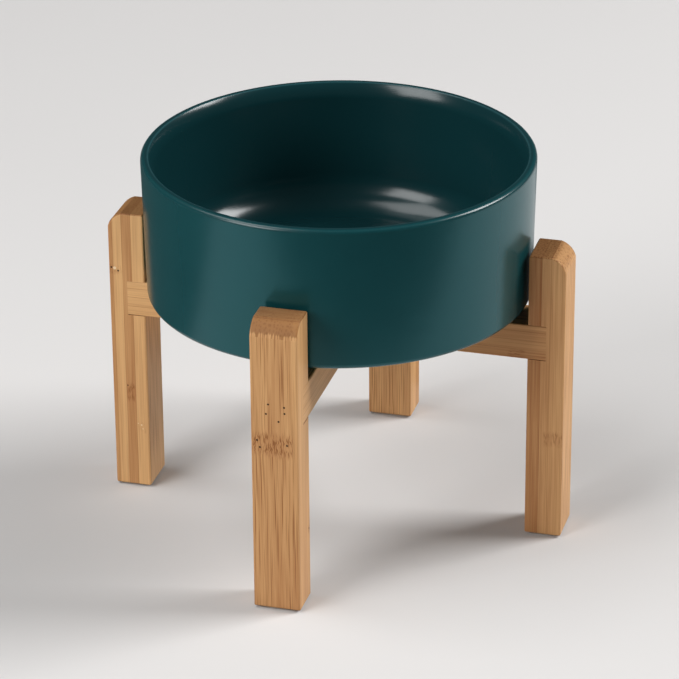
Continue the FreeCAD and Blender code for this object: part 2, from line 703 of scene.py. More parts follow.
    def _tone(self, ground: Ground) -> Wire:
        """Give each strip its lightness, with soft clouds along it.

        Args:
            ground: The piece's ground.

        Returns:
            The lightness, from 0 for brown to 1 for pale.
        """
        grain = ground.grain
        stops: list[tuple[float, float]] = []
        for lamella, following in zip(grain.lamellae, (*grain.lamellae[1:], None)):
            end = following.start if following else grain.stock
            stops.append((lamella.start / grain.stock + self.stop_gap, lamella.tone))
            stops.append((end / grain.stock - self.stop_gap, lamella.end_tone))
        tone = ground.shader.ramp(ground.depth / grain.stock, stops)
        clouds = ground.sway(ground.width / self.cloud_pitch, ground.along / self.cloud_run)
        return tone + clouds * self.cloud_strength + (ground.along - grain.tone_pivot) * grain.tone_slope

    def _even_ends(self, ground: Ground, tone: Wire, flat: Wire) -> Wire:
        """Even out the lightness where the fibres are cut across, and draw rings there.

        Args:
            ground: The piece's ground.
            tone: Lightness of the strips.
            flat: Where the fibres are cut square across.

        Returns:
            The lightness with its ends.
        """
        rings = ground.sway(ground.depth / self.ring_pitch, ground.across / self.ring_run)
        evened = tone + (self.end_tone - tone) * flat * self.end_evenness
        return evened + rings * flat * self.ring_strength

    def _glue(self, ground: Ground) -> Number:
        """Draw fine glue lines between the strips.

        Args:
            ground: The piece's ground.

        Returns:
            Strength of the lines.
        """
        lines: Number = 0.0
        for lamella in ground.grain.lamellae[1:]:
            lines = ground.depth.near(lamella.start, 0.0, self.glue_width) + lines
        return lines

    def _dots(self, ground: Ground) -> Wire:
        """Draw the dark ends of the fibre bundles, in loose patches.

        Args:
            ground: The piece's ground.

        Returns:
            Strength of the dots.
        """
        shader, seed = ground.shader, ground.grain.seed
        where = shader.join(ground.depth / self.dot_pitch, ground.across / self.dot_pitch + seed, 0.0)
        distance, chance = shader.cells(where)
        where = shader.join(ground.depth / self.dot_patch, ground.across / self.dot_patch, seed)
        patch = shader.noise(where)
        strength = (chance * (1 - self.dot_least) + self.dot_least) * ground.grain.end_pores
        strength = strength * patch.rises(self.patch_low, self.patch_high)
        return distance.falls(self.dot_core, self.dot_edge) * strength

    def _marks(self, shader: Shader, spot: bpy.types.NodeSocket, marks: Sequence[Mark]) -> Number:
        """Draw small round marks.

        Args:
            shader: The piece's shader.
            spot: Place in the pattern.
            marks: The marks.

        Returns:
            Strength of the marks.
        """
        total: Number = 0.0
        for mark in marks:
            gap = shader.distance(spot, (mark.depth, mark.across, mark.along))
            total = gap.falls(mark.radius * self.mark_core, mark.radius * self.mark_edge) + total
        return total


@dataclass(frozen=True)
class GlazeFinish:
    """Deep teal glaze, satin outside and glossier inside, over pale clay; the inside's darker teal is
    painted shade. Lengths are in millimetres.
    """

    teal: Colour = (0.0046, 0.050, 0.056)
    deep: Colour = (0.0043, 0.047, 0.053)
    # inside: darker teal of the bowl's inside, painted shade for the light that reaches less far in
    inside: Colour = (0.0050, 0.034, 0.039)
    thin: Colour = (0.030, 0.105, 0.118)
    clay: Colour = (0.52, 0.44, 0.35)
    clay_dark: Colour = (0.38, 0.31, 0.24)
    cloud_size: float = 26.0
    cloud_low: float = 0.3
    cloud_high: float = 0.7
    cloud_roughness: float = 0.03
    speck_size: float = 1.3
    break_width: float = 0.5
    thin_least: float = 0.25
    thin_speck: float = 0.5
    inside_blur: float = 0.5
    lip_start: float = 2.6
    lip_full: float = 1.4
    bare_height: float = 1.6
    bare_waver: float = 0.9
    bare_blur: float = 0.15
    clay_low: float = 0.45
    clay_high: float = 0.65
    clay_grain: float = 2.0
    ripple_size: float = 7.0
    relief: float = 0.035 * MM
    outside_roughness: float = 0.24
    inside_roughness: float = 0.20
    clay_roughness: float = 0.85
    outside_gloss: float = 0.79
    outside_tint: Colour = (0.39, 0.92, 1.0)
    inside_gloss: float = 0.42

    def material(self, bowl: "Bowl") -> bpy.types.Material:
        """Make the glaze of the bowl.

        Args:
            bowl: The bowl, whose sizes set where the glaze is thin, glossy or wiped off.

        Returns:
            The material.
        """
        shader = Shader("teal_glaze")
        spot = shader.place()
        x, y, height = shader.split(spot)
        radius = (x * x + y * y) ** 0.5
        clouds = shader.noise(spot, detail=3.0, scale=1 / self.cloud_size)
        specks = shader.noise(spot, scale=1 / self.speck_size)
        ripples = shader.noise(spot, detail=1.0, scale=1 / self.ripple_size)
        uneven = clouds - NOISE_MIDDLE
        inside = self._inside(bowl, radius, height)
        bare_line = bowl.seat / MM + self.bare_height
        bare = 1 - (height + uneven * self.bare_waver).past(bare_line, self.bare_blur)
        colour = shader.blend(clouds.rises(self.cloud_low, self.cloud_high), self.deep, self.teal)
        # Painted shade: the inside gets the darker teal.
        colour = shader.blend(inside, colour, self.inside)
        thin = self._thin_edges(bowl, radius, height) * (specks * self.thin_speck + self.thin_least)
        colour = shader.blend(thin, colour, self.thin)
        clay = shader.blend(specks.rises(self.clay_low, self.clay_high), self.clay, self.clay_dark)
        colour = shader.blend(bare, colour, clay)
        roughness = self.outside_roughness + uneven * self.cloud_roughness
        roughness = roughness + inside * (self.inside_roughness - self.outside_roughness)
        roughness = roughness + bare * (self.clay_roughness - self.outside_roughness)
        normal = shader.relief(ripples + self.clay_grain * specks * bare, self.relief)
        outer = shader.shell(colour, roughness, normal, Specular_IOR_Level=self.outside_gloss,
                             Specular_Tint=self.outside_tint)
        inner = shader.shell(colour, roughness, normal, Specular_IOR_Level=self.inside_gloss)
        lip = height.rises(bowl.rim_top / MM - self.lip_start, bowl.rim_top / MM - self.lip_full)
        shells = {0: inside.larger(lip), 1: outer, 2: inner}
        return shader.close(shader.node("ShaderNodeMixShader", sockets=shells).outputs[0])

    def _inside(self, bowl: "Bowl", radius: Wire, height: Wire) -> Wire:
        """Find the surface that belongs to the bowl's inside.

        Args:
            bowl: The bowl.
            radius: Distance from the upright axis.
            height: Height above the floor.

        Returns:
            1 inside and 0 outside.
        """
        wall = (bowl.rim_radius - bowl.rim_thickness / 2) / MM
        floor = (bowl.inner_floor - bowl.floor_thickness / 2) / MM
        return height.past(floor, self.inside_blur) * (1 - radius.past(wall, self.inside_blur))

    def _thin_edges(self, bowl: "Bowl", radius: Wire, height: Wire) -> Wire:
        """Find where the glaze draws thin: the lip's two edges.

        Args:
            bowl: The bowl.
            radius: Distance from the upright axis.
            height: Height above the floor.

        Returns:
            How thin the glaze is, from 0 to 1.
        """
        reach = 2 * self.break_width
        top = height.rises(bowl.rim_top / MM - reach, bowl.rim_top / MM)
        inner = radius.near((bowl.rim_radius - bowl.rim_thickness) / MM, 0.0, reach)
        outer = radius.near(bowl.rim_radius / MM - self.break_width, 0.0, reach)
        return (inner + outer) * top


@dataclass(frozen=True)
class DowelFinish:
    """Bare beech of the dowels; lengths are in millimetres."""

    light: Colour = (0.62, 0.43, 0.26)
    brown: Colour = (0.46, 0.29, 0.15)
    ray_pitch: float = 0.7
    ray_run: float = 4.0
    ray_low: float = 0.35
    ray_high: float = 0.65
    roughness: float = 0.62
    ray_roughness: float = 0.2
    relief: float = 0.06 * MM

    def material(self, name: str, side: Side) -> bpy.types.Material:
        """Make the beech of the dowels that lie along one side's direction.

        Args:
            name: Name of the material.
            side: Side that the dowels point to.

        Returns:
            The material.
        """
        shader = Shader(name)
        along, across, depth = shader.split(shader.place(Matrix.Rotation(-side.turn, 3, "Z")))
        where = shader.join(along / self.ray_run, across / self.ray_pitch, depth / self.ray_pitch)
        rays = shader.noise(where)
        colour = shader.blend(rays.rises(self.ray_low, self.ray_high), self.light, self.brown)
        roughness = self.roughness + rays * self.ray_roughness
        return shader.close(shader.shell(colour, roughness, shader.relief(rays, self.relief)))


@dataclass(frozen=True)
class PadFinish:
    """Buff felt of the foot pads; lengths are in millimetres."""

    light: Colour = (0.42, 0.35, 0.27)
    shade: Colour = (0.27, 0.22, 0.165)
    fleck_size: float = 0.5
    fleck_share: float = 0.6
    tuft_size: float = 2.2
    pile_low: float = 0.35
    pile_high: float = 0.65
    roughness: float = 0.85
    fleck_roughness: float = 0.1
    relief: float = 0.12 * MM

    def material(self) -> bpy.types.Material:
        """Make the felt.

        Returns:
            The material.
        """
        shader = Shader("pad_felt")
        spot = shader.place()
        flecks = shader.noise(spot, detail=3.0, scale=1 / self.fleck_size)
        tufts = shader.noise(spot, scale=1 / self.tuft_size)
        pile = flecks * self.fleck_share + tufts * (1 - self.fleck_share)
        colour = shader.blend(pile.rises(self.pile_low, self.pile_high), self.shade, self.light)
        roughness = self.roughness + flecks * self.fleck_roughness
        return shader.close(shader.shell(colour, roughness, shader.relief(pile, self.relief)))


@dataclass(frozen=True)
class SheetFinish:
    """Matt surface of the floor and cards, faintly clouded; a glow paints light; the cloud size is in
    millimetres.
    """

    colour: Colour
    cloud: Colour = (0.0, 0.0, 0.0)
    cloud_size: float = 200.0
    cloud_share: float = 0.1
    roughness: float = 0.9
    cloud_roughness: float = 0.05
    glow: float = 0.0

    def material(self, name: str) -> bpy.types.Material:
        """Make the surface of one sheet.

        Args:
            name: Name of the material.

        Returns:
            The material.
        """
        shader = Shader(name)
        clouds = shader.noise(shader.place(), scale=1 / self.cloud_size)
        colour = shader.blend(clouds * self.cloud_share, self.colour, self.cloud)
        # A glow above zero makes a card that is no lamp shine in reflections: painted light.
        surface = shader.shell(colour, self.roughness + clouds * self.cloud_roughness,
                               Emission_Color=(1.0, 1.0, 1.0), Emission_Strength=self.glow)
        return shader.close(surface)


class Bench:
    """One piece under work, shaped by Blender's own modelling operators."""

    def __init__(self, name: str) -> None:
        """Take the primitive that was just added.

        Args:
            name: Name that it gets.
        """
        self.piece = bpy.context.object
        self.piece.name = name
        self.piece.data.name = name
        bpy.ops.object.transform_apply(location=True, rotation=True, scale=True)

    @staticmethod
    def clear() -> None:
        """Leave edit mode and deselect all, so that an operator reaches only what is added next."""
        if bpy.context.mode != "OBJECT":
            bpy.ops.object.mode_set(mode="OBJECT")
        bpy.ops.object.select_all(action="DESELECT")

    @classmethod
    def point(cls, name: str, start: Vector) -> "Bench":
        """Start from a single point, ready to be drawn on.

        Args:
            name: Name of the piece.
            start: Where the point lies.

        Returns:
            The bench, in edit mode.
        """
        cls.clear()
        bpy.ops.mesh.primitive_plane_add(size=MM, location=start)
        bench = cls(name)
        bpy.ops.object.mode_set(mode="EDIT")
        bpy.ops.mesh.select_mode(type="VERT")
        bpy.ops.mesh.select_all(action="SELECT")
        bpy.ops.mesh.merge(type="CENTER")
        return bench

    @classmethod
    def block(cls, name: str, low: Vector, high: Vector) -> "Bench":
        """Start from a box between two corners.

        Args:
            name: Name of the box.
            low: Its lowest corner.
            high: Its highest corner.

        Returns:
            The bench, in object mode.
        """
        cls.clear()
        bpy.ops.mesh.primitive_cube_add(size=1, location=(low + high) / 2, scale=high - low)
        return cls(name)

    @classmethod
    def bore(cls, name: str, radius: float, start: Vector, end: Vector) -> "Bench":
        """Start from a round bar between two points.

        Args:
            name: Name of the bar.
            radius: Its radius.
            start: Middle of its first end.
            end: Middle of its other end.

        Returns:
            The bench, in object mode.
        """
        cls.clear()
        axis = end - start
        bpy.ops.mesh.primitive_cylinder_add(
            vertices=BORE_SIDES, radius=radius, depth=axis.length, location=(start + end) / 2,
            rotation=UPRIGHT.rotation_difference(axis).to_euler())
        return cls(name)

    def draw(self, points: Sequence[Vector]) -> None:
        """Extrude the point from place to place.

        Args:
            points: The line's places, the first of which is where the point is now.
        """
        for here, there in zip(points, points[1:]):
            bpy.ops.mesh.extrude_vertices_move(TRANSFORM_OT_translate={"value": there - here})

    def close_and_extrude(self, step: Vector) -> None:
        """Fill the drawn outline and pull it out into a block.

        Args:
            step: How far and which way it is pulled.
        """
        bpy.ops.mesh.select_all(action="SELECT")
        bpy.ops.mesh.edge_face_add()
        bpy.ops.mesh.extrude_region_move(TRANSFORM_OT_translate={"value": step})
        self.weld()

    def spin(self, steps: int) -> None:
        """Turn the drawn line once about the upright axis.

        Args:
            steps: Number of flat sides that the turn gives.
        """
        bpy.ops.mesh.select_all(action="SELECT")
        bpy.ops.mesh.spin(steps=steps, angle=math.tau, center=(0, 0, 0), axis=UPRIGHT)
        self.weld()

    def weld(self) -> None:
        """Merge doubled points and turn all faces outwards."""
        bpy.ops.object.mode_set(mode="EDIT")
        bpy.ops.mesh.select_all(action="SELECT")
        bpy.ops.mesh.remove_doubles(threshold=WELD_DISTANCE)
        bpy.ops.mesh.normals_make_consistent(inside=False)

    def bevel_edges(self, test: Test, reach: float, segments: int) -> None:
        """Round the edges whose ends both pass a test.

        Args:
            test: Says whether a point belongs to an edge to be rounded.
            reach: How far the rounding runs onto each face.
            segments: Number of facets across the rounding.
        """
        bpy.ops.object.mode_set(mode="EDIT")
        bpy.ops.mesh.select_mode(type="EDGE")
        bpy.ops.mesh.select_all(action="DESELECT")
        mesh = bmesh.from_edit_mesh(self.piece.data)
        for edge in mesh.edges:
            edge.select_set(all(test(vertex.co) for vertex in edge.verts))
        bmesh.update_edit_mesh(self.piece.data)
        bpy.ops.mesh.bevel(offset=reach, offset_type="OFFSET", segments=segments, profile=0.5,
                           affect="EDGES", clamp_overlap=False)

    def cut(self, tool: "Bench") -> None:
        """Cut another bench's shape out of this piece and clear that bench away.

        Args:
            tool: The bench with the cutter.
        """
        bpy.ops.object.mode_set(mode="OBJECT")
        modifier = self.piece.modifiers.new("cut", "BOOLEAN")
        modifier.operation = "DIFFERENCE"
        modifier.solver = "EXACT"
        modifier.object = tool.piece
        self.focus()
        bpy.ops.object.modifier_apply(modifier=modifier.name)
        bpy.data.objects.remove(tool.piece)

    def focus(self) -> None:
        """Make this piece the only selected and active one."""
        self.clear()
        self.piece.select_set(True)
        bpy.context.view_layer.objects.active = self.piece

    def smooth(self) -> None:
        """Leave edit mode with smooth shading that follows the large faces."""
        self.weld()
        bpy.ops.object.mode_set(mode="OBJECT")
        self.focus()
        bpy.ops.object.shade_smooth_by_angle(angle=SMOOTH_ANGLE)
        modifier = self.piece.modifiers.new("even_shading", "WEIGHTED_NORMAL")
        modifier.keep_sharp = True
        bpy.ops.object.modifier_apply(modifier=modifier.name)

    def turned_copy(self, name: str, turn: float) -> bpy.types.Object:
        """Copy the piece with its own mesh, turned about the upright axis.

        Args:
            name: Name of the copy.
            turn: Turn in radians.

        Returns:
            The copy, at the origin and unturned.
        """
        self.focus()
        bpy.ops.object.duplicate(linked=False)
        copy = bpy.context.object
        copy.name = name
        copy.data.name = name
        copy.rotation_euler = (0, 0, turn)
        bpy.ops.object.transform_apply(location=False, rotation=True, scale=False)
        return copy


def turn_between(before: Vector, corner: Vector, after: Vector) -> float:
    """Angle by which an outline turns at a corner, in radians."""
    return (corner - before).angle(after - corner)


def lies_at(**places: float) -> Test:
    """Make a test for points that lie at given coordinates.

    Args:
        places: The coordinates that are tested, each under its axis x, y or z.

    Returns:
        The test.
    """
    def test(point: Vector) -> bool:
        """Whether the point lies there."""
        return all(abs(getattr(point, axis) - place) < PICK_DISTANCE for axis, place in places.items())
    return test


def fit_piece(piece: bpy.types.Object, node: str, body: str,
              material: bpy.types.Material) -> None:
    """Put a new piece in a CAD node's stead and dress it.

    Args:
        piece: The finished piece.
        node: CAD node that it stands for.
        body: Body that it moves with.
        material: Its finish.
    """
    piece.data.materials.clear()
    piece.data.materials.append(material)
    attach(piece, body)
    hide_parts(node)
    log.info("%s: %d faces, in place of %s", piece.name, len(piece.data.polygons), node)


def dress_node(node: str, material: bpy.types.Material) -> None:
    """Give a CAD node that stays in view its finish.

    Args:
        node: The node's name.
        material: Its finish.
    """
    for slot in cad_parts[node].material_slots:
        slot.material = material
    log.info("%s: dressed as it is", node)


@dataclass
class Bowl:
    """Glazed bowl, turned about the upright axis, with a foot ring and a lip flared on its inside."""

    finish: GlazeFinish
    wall_taper: float = 1.7 * MM
    rim_thickness: float = 4.1 * MM
    base_wall: float = 7.4 * MM
    floor_thickness: float = 6.0 * MM
    inner_corner_radius: float = 20.0 * MM
    base_edge_radius: float = 3.0 * MM
    lip_outer_radius: float = 2.2 * MM
    lip_inner_radius: float = 0.8 * MM
    lip_flare_width: float = 2.9 * MM
    lip_flare_depth: float = 4.6 * MM
    lip_flare_radius: float = 15.0 * MM
    foot_height: float = 4.7 * MM
    foot_inset: float = 19.0 * MM
    foot_width: float = 7.0 * MM
    foot_draft: float = 1.2 * MM
    foot_edge_radius: float = 1.2 * MM
    foot_root_radius: float = 1.4 * MM
    spin_steps: int = 192
    facets_per_mm: float = 1.0
    least_facets: int = 4
    seat: float = field(init=False)
    rim_top: float = field(init=False)
    rim_radius: float = field(init=False)

    def __post_init__(self) -> None:
        """Take the seat, height and width from the frame."""
        low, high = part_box("bowl")
        self.seat = low.z
        self.rim_top = high.z
        self.rim_radius = high.x

    @property
    def underside(self) -> float:
        """Height of the bowl's underside inside and outside the foot ring."""
        return self.seat + self.foot_height

    @property
    def inner_floor(self) -> float:
        """Height of the bowl's floor inside."""
        return self.underside + self.floor_thickness

    def corners(self) -> list[tuple[float, float, float]]:
        """List the corners of the half section.

        Returns:
            The corners, each as radius, height and rounding.
        """
        base = self.rim_radius - self.wall_taper
        foot_outer = base - self.foot_inset
        foot_inner = foot_outer - self.foot_width
        lip_inner = self.rim_radius - self.rim_thickness
        flare_inner = lip_inner - self.lip_flare_width
        return [
            (0, self.underside, 0),
            (foot_inner - self.foot_draft, self.underside, self.foot_root_radius),
            (foot_inner, self.seat, self.foot_edge_radius),
            (foot_outer, self.seat, self.foot_edge_radius),
            (foot_outer + self.foot_draft, self.underside, self.foot_root_radius),
            (base, self.underside, self.base_edge_radius),
            (self.rim_radius, self.rim_top, self.lip_outer_radius),
            (lip_inner, self.rim_top, self.lip_inner_radius),
            (flare_inner, self.rim_top - self.lip_flare_depth, self.lip_flare_radius),
            (base - self.base_wall, self.inner_floor, self.inner_corner_radius),
            (0, self.inner_floor, 0),
        ]

    def build(self) -> bpy.types.Object:
        """Draw the half section, spin it and round its corners.

        Returns:
            The bowl.
        """
        corners = self.corners()
        points = [Vector((radius, 0, height)) for radius, height, rounding in corners]
        bench = Bench.point("glazed_bowl", points[0])
        bench.draw(points)
        bench.spin(self.spin_steps)
        for before, corner, after, (radius, height, rounding) in zip(
                points, points[1:], points[2:], corners[1:]):
            turn = turn_between(before, corner, after)
            facets = max(self.least_facets, round(rounding * turn / MM * self.facets_per_mm))
            bench.bevel_edges(self._on_circle(radius, height), rounding * math.tan(turn / 2), facets)
        bench.smooth()
        return bench.piece

    @staticmethod
    def _on_circle(radius: float, height: float) -> Test:
        """Make a test for points on a level circle about the upright axis.

        Args:
            radius: The circle's radius.
            height: Its height.

        Returns:
            The test.
        """
        def test(point: Vector) -> bool:
            """Whether the point lies on the circle."""
            off_radius = abs(math.hypot(point.x, point.y) - radius)
            return off_radius < PICK_DISTANCE and abs(point.z - height) < PICK_DISTANCE
        return test

    def make(self) -> None:
        """Build the bowl and dress it."""
        fit_piece(self.build(), "bowl", "bowl", self.finish.material(self))


@dataclass
class Leg:
    """Upright leg, modelled on the right-hand side, with a crowned top and a housing for the bar."""

    crown_width: float = 7.8 * MM
    crown_drop: float = 8.2 * MM
    crown_rise: float = 2.7 * MM
    crown_radius: float = 10.0 * MM
    crease_radius: float = 1.2 * MM
    corner_radius: float = 1.0 * MM
    facets_per_mm: float = 1.2
    least_facets: int = 3
    edge_ease: float = 0.8 * MM
    ease_facets: int = 4
    dowel_clearance: float = 0.1 * MM
    low: Vector = field(init=False)
    high: Vector = field(init=False)

    def __post_init__(self) -> None:
        """Take the leg's box from the frame."""
        self.low, self.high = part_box("right_leg")

    def outline(self) -> list[tuple[Vector, float]]:
        """List the corners of the side outline, on the leg's front face.

        Returns:
            The corners, each with its rounding.
        """
        front = self.low.y
        low_crease = Vector((self.high.x, front, self.high.z - self.crown_drop))
        high_crease = Vector((self.high.x - self.crown_width, front, self.high.z))
        slope = (low_crease - high_crease).normalized()
        outward = Vector((-slope.z, 0, slope.x))
        peak = (low_crease + high_crease) / 2 + outward * self.crown_rise
        return [
            (Vector((self.low.x, front, self.low.z)), self.corner_radius),
            (Vector((self.high.x, front, self.low.z)), self.corner_radius),
            (low_crease, self.crease_radius),
            (peak, self.crown_radius),
            (high_crease, self.crease_radius),
            (Vector((self.low.x, front, self.high.z)), self.corner_radius),
        ]

    def build(self) -> Bench:
        """Draw the outline, pull it to the leg's width, round it and cut its housing and dowel holes.

        Returns:
            The bench with the leg.
        """
        outline = self.outline()
        points = [point for point, rounding in outline]
        bench = Bench.point("leg_pattern", points[0])
        bench.draw(points)
        bench.close_and_extrude(Vector((0, self.high.y - self.low.y, 0)))
        count = len(points)
        for index, (corner, rounding) in enumerate(outline):
            turn = turn_between(points[index - 1], corner, points[(index + 1) % count])
            facets = max(self.least_facets, round(rounding * turn / MM * self.facets_per_mm))
            bench.bevel_edges(lies_at(x=corner.x, z=corner.z), rounding * math.tan(turn / 2), facets)
        for face in (self.low.y, self.high.y):
            bench.bevel_edges(lies_at(y=face), self.edge_ease, self.ease_facets)
        self._cut_joint(bench)
        bench.smooth()
        return bench

    def _cut_joint(self, bench: Bench) -> None:
        """Cut the housing for the bar's end and the two blind dowel holes.

        Args:
            bench: The bench with the rounded leg.
        """
        bar_low, bar_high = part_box("lower_cross_bar")
        overrun = Vector((CUT_OVERRUN, CUT_OVERRUN, 0))
        corner = Vector((self.low.x, self.low.y, bar_low.z)) - overrun
        opposite = Vector((bar_high.x, self.high.y + CUT_OVERRUN, bar_high.z))
        bench.cut(Bench.block("housing", corner, opposite))
        for number in DOWEL_NUMBERS:
            bench.cut(dowel_bore(f"right_leg_dowel_{number}", self.dowel_clearance))


def dowel_bore(node: str, clearance: float) -> Bench:
    """Round cutter for the hole of a dowel that lies along X.

    Args:
        node: The dowel's CAD node.
        clearance: Room around the dowel.

    Returns:
        The cutter.
    """
    low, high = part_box(node)
    middle = (low + high) / 2
    half = Vector(((high.x - low.x) / 2 + clearance, 0, 0))
    radius = (high.z - low.z) / 2 + clearance
    return Bench.bore("dowel_hole", radius, middle - half, middle + half)


@dataclass
class CrossBar:
    """Bar along X with eased long edges, a half-lap notch at its middle and dowel holes in its ends."""

    notched_from_above: bool
    edge_ease: float = 0.8 * MM
    ease_facets: int = 4
    lap_clearance: float = 0.2 * MM
    dowel_clearance: float = 0.1 * MM
    low: Vector = field(init=False)
    high: Vector = field(init=False)

    def __post_init__(self) -> None:
        """Take the bar's box from the frame."""
        self.low, self.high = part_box("lower_cross_bar")

    def build(self) -> Bench:
        """Cut the bar from a block.

        Returns:
            The bench with the bar.
        """
        bench = Bench.block("bar_pattern", self.low, self.high)
        for y in (self.low.y, self.high.y):
            for z in (self.low.z, self.high.z):
                bench.bevel_edges(lies_at(y=y, z=z), self.edge_ease, self.ease_facets)
        reach = self.high.y + self.lap_clearance
        middle = (self.low.z + self.high.z) / 2
        bottom = middle if self.notched_from_above else self.low.z - CUT_OVERRUN
        top = self.high.z + CUT_OVERRUN if self.notched_from_above else middle
        wide = self.high.y + CUT_OVERRUN
        bench.cut(Bench.block("lap", Vector((-reach, -wide, bottom)), Vector((reach, wide, top))))
        for side in (Side.LEFT, Side.RIGHT):
            for number in DOWEL_NUMBERS:
                bench.cut(dowel_bore(f"{side.word}_leg_dowel_{number}", self.dowel_clearance))
        bench.smooth()
        return bench


@dataclass
class Stand:
    """Bamboo stand of two crossed frames, each a bar housed in two legs."""

    bamboo: BambooFinish
    dowel: DowelFinish
    pad: PadFinish
    seeds: dict[str, float] = field(default_factory=lambda: {
        "right": 3.1, "back": 17.4, "left": 29.2, "front": 41.7, "lower": 55.3, "upper": 68.9})

    @staticmethod
    def body(side: Side) -> str:
        """Body that carries the leg on a side."""
        return "lower_frame" if side in (Side.LEFT, Side.RIGHT) else "upper_frame"

    def leg_grain(self, side: Side, leg: Leg) -> Grain:
        """Lay the bamboo pattern on a leg.

        Args:
            side: The leg's side.
            leg: The leg's shape.

        Returns:
            The leg's grain.
        """
        outer = (leg.high.x - leg.low.x) / MM
        flank = leg.high.y / MM
        looks: dict[Side, dict[str, Any]] = {
            Side.FRONT: dict(
                lamellae=(Lamella(0.0, 0.7, 0.6), Lamella(6.8, 0.55, 0.68), Lamella(13.2, 0.72, 0.66),
                          Lamella(19.0, 0.64, 0.64)),
                marks=(Mark(outer, -3.1, 119.2), Mark(outer, -4.3, 113.7), Mark(outer, 5.3, 118.3),
                       Mark(outer, 5.5, 114.9), Mark(outer, 2.3, 110.0), Mark(outer, -9.3, 98.2),
                       Mark(outer, -7.8, 94.4), Mark(outer, 6.6, 96.9), Mark(2.1, flank, 40.9)),
                joints=(CulmJoint(96.2, 8.2, -12.8, 9.4),
                        CulmJoint(40.9, 3.0, 0.6, 3.6, Face.EDGE, 0.5)),
                strip_edge=12.4, strip_lean=0.02, strip_tone=0.14, tone_slope=0.0016, tone_pivot=120.0,
                end_pores=0.45),
            Side.LEFT: dict(
                # The thin first strip of tone 1.0 shows only on the inner face, which the bowl shades:
                # painted light that lightens that face.
                lamellae=(Lamella(0.0, 1.0, 1.0), Lamella(0.7, 0.95, 0.88), Lamella(7.1, 0.4, 0.5),
                          Lamella(12.3, 0.95, 0.88), Lamella(17.7, 0.45, 0.4)),
                marks=(Mark(18.6, flank, 132.1), Mark(16.8, flank, 131.8, 0.8, pale=True),
                       Mark(14.8, flank, 130.4), Mark(11.6, flank, 61.8, 0.35),
                       Mark(6.3, flank, 39.0, 0.25, pale=True), Mark(4.4, flank, 38.2, 0.4, pale=True),
                       Mark(3.7, flank, 35.9, 0.3, pale=True)),
                joints=(CulmJoint(57.4, 6.5, 7.4, 12.0, Face.EDGE, 0.8),
                        CulmJoint(36.8, 4.0, 1.2, 6.6, Face.EDGE, 0.2),
                        CulmJoint(131.0, 3.5, 12.8, 20.5, Face.EDGE, 0.35))),
            Side.RIGHT: dict(
                lamellae=(Lamella(0.0, 0.36, 0.17), Lamella(7.1, 0.5, 0.56), Lamella(12.1, 0.62, 0.7)),
                joints=(CulmJoint(59.0, 5.4, 9.6, 20.5, Face.EDGE, 0.55),),
                end_pores=1.0, crown_shade=0.3),
            Side.BACK: dict(
                lamellae=(Lamella(0.0, 0.68, 0.7), Lamella(5.6, 0.75, 0.8), Lamella(12.6, 0.46, 0.55)),
                marks=(Mark(outer, 4.0, 61.0), Mark(outer, -6.5, 64.5)),
                joints=(CulmJoint(63.0, 7.0, -12.8, 12.8),)),
        }
        return Grain(side=side, fibres=Fibres.UPRIGHT, first_face=leg.low.x, stock=outer,
                     seed=self.seeds[side.word], **looks[side])

    def bar_grain(self, name: str, side: Side, bar: CrossBar) -> Grain:
        """Lay the bamboo pattern on a bar.

        Args:
            name: The bar's short name.
            side: Side that the bar's length points to.
            bar: The bar's shape.

        Returns:
            The bar's grain.
        """
        lamellae = (Lamella(0.0, 0.75, 0.66), Lamella(4.1, 0.6, 0.7), Lamella(9.2, 0.72, 0.62),
                    Lamella(14.6, 0.66, 0.55))
        joints = (CulmJoint(100.2, 5.5, 15.0, 20.5, Face.EDGE, 0.6),)
        return Grain(side=side, fibres=Fibres.LYING, first_face=-bar.high.z,
                     stock=(bar.high.z - bar.low.z) / MM, seed=self.seeds[name],
                     lamellae=lamellae, joints=joints, tone_slope=-0.0021)

    def make_legs(self) -> None:
        """Model one leg and copy it to the four sides."""
        leg = Leg()
        pattern = leg.build()
        for side in Side:
            piece = pattern.turned_copy(f"bamboo_{side.word}_leg", side.turn)
            material = self.bamboo.material(f"bamboo_{side.word}_leg", self.leg_grain(side, leg))
            fit_piece(piece, f"{side.word}_leg", self.body(side), material)
        bpy.data.objects.remove(pattern.piece)

    def make_bars(self) -> None:
        """Model the two bars, one notched from above and one from below."""
        for name, side, notched_from_above in (("lower", Side.RIGHT, True), ("upper", Side.BACK, False)):
            bar = CrossBar(notched_from_above)
            pattern = bar.build()
            piece = pattern.turned_copy(f"bamboo_{name}_cross_bar", side.turn)
            bpy.data.objects.remove(pattern.piece)
            grain = self.bar_grain(name, side, bar)
            material = self.bamboo.material(f"bamboo_{name}_cross_bar", grain)
            fit_piece(piece, f"{name}_cross_bar", self.body(side), material)

    def dress_dowels_and_pads(self) -> None:
        """Dress the dowels and foot pads, whose CAD shapes stay."""
        felt = self.pad.material()
        for side in Side:
            beech = self.dowel.material(f"{side.word}_dowel_beech", side)
            for number in DOWEL_NUMBERS:
                dress_node(f"{side.word}_leg_dowel_{number}", beech)
            dress_node(f"{side.word}_foot_pad", felt)

    def make(self) -> None:
        """Build and dress the whole stand."""
        self.make_legs()
        self.make_bars()
        self.dress_dowels_and_pads()


def lay_sheet(name: str, finish: SheetFinish, size: float, middle: Vector,
              turn: float) -> bpy.types.Object:
    """Lay a level square sheet that belongs to the studio.

    Args:
        name: Name of the sheet and its material.
        finish: Its finish.
        size: Length of its sides.
        middle: Where its middle lies.
        turn: Turn about the upright axis, in radians.

    Returns:
        The sheet.
    """
    Bench.clear()
    bpy.ops.mesh.primitive_plane_add(size=size, location=middle, rotation=(0, 0, turn))
    sheet = Bench(name).piece
    sheet.data.materials.append(finish.material(name))
    return sheet


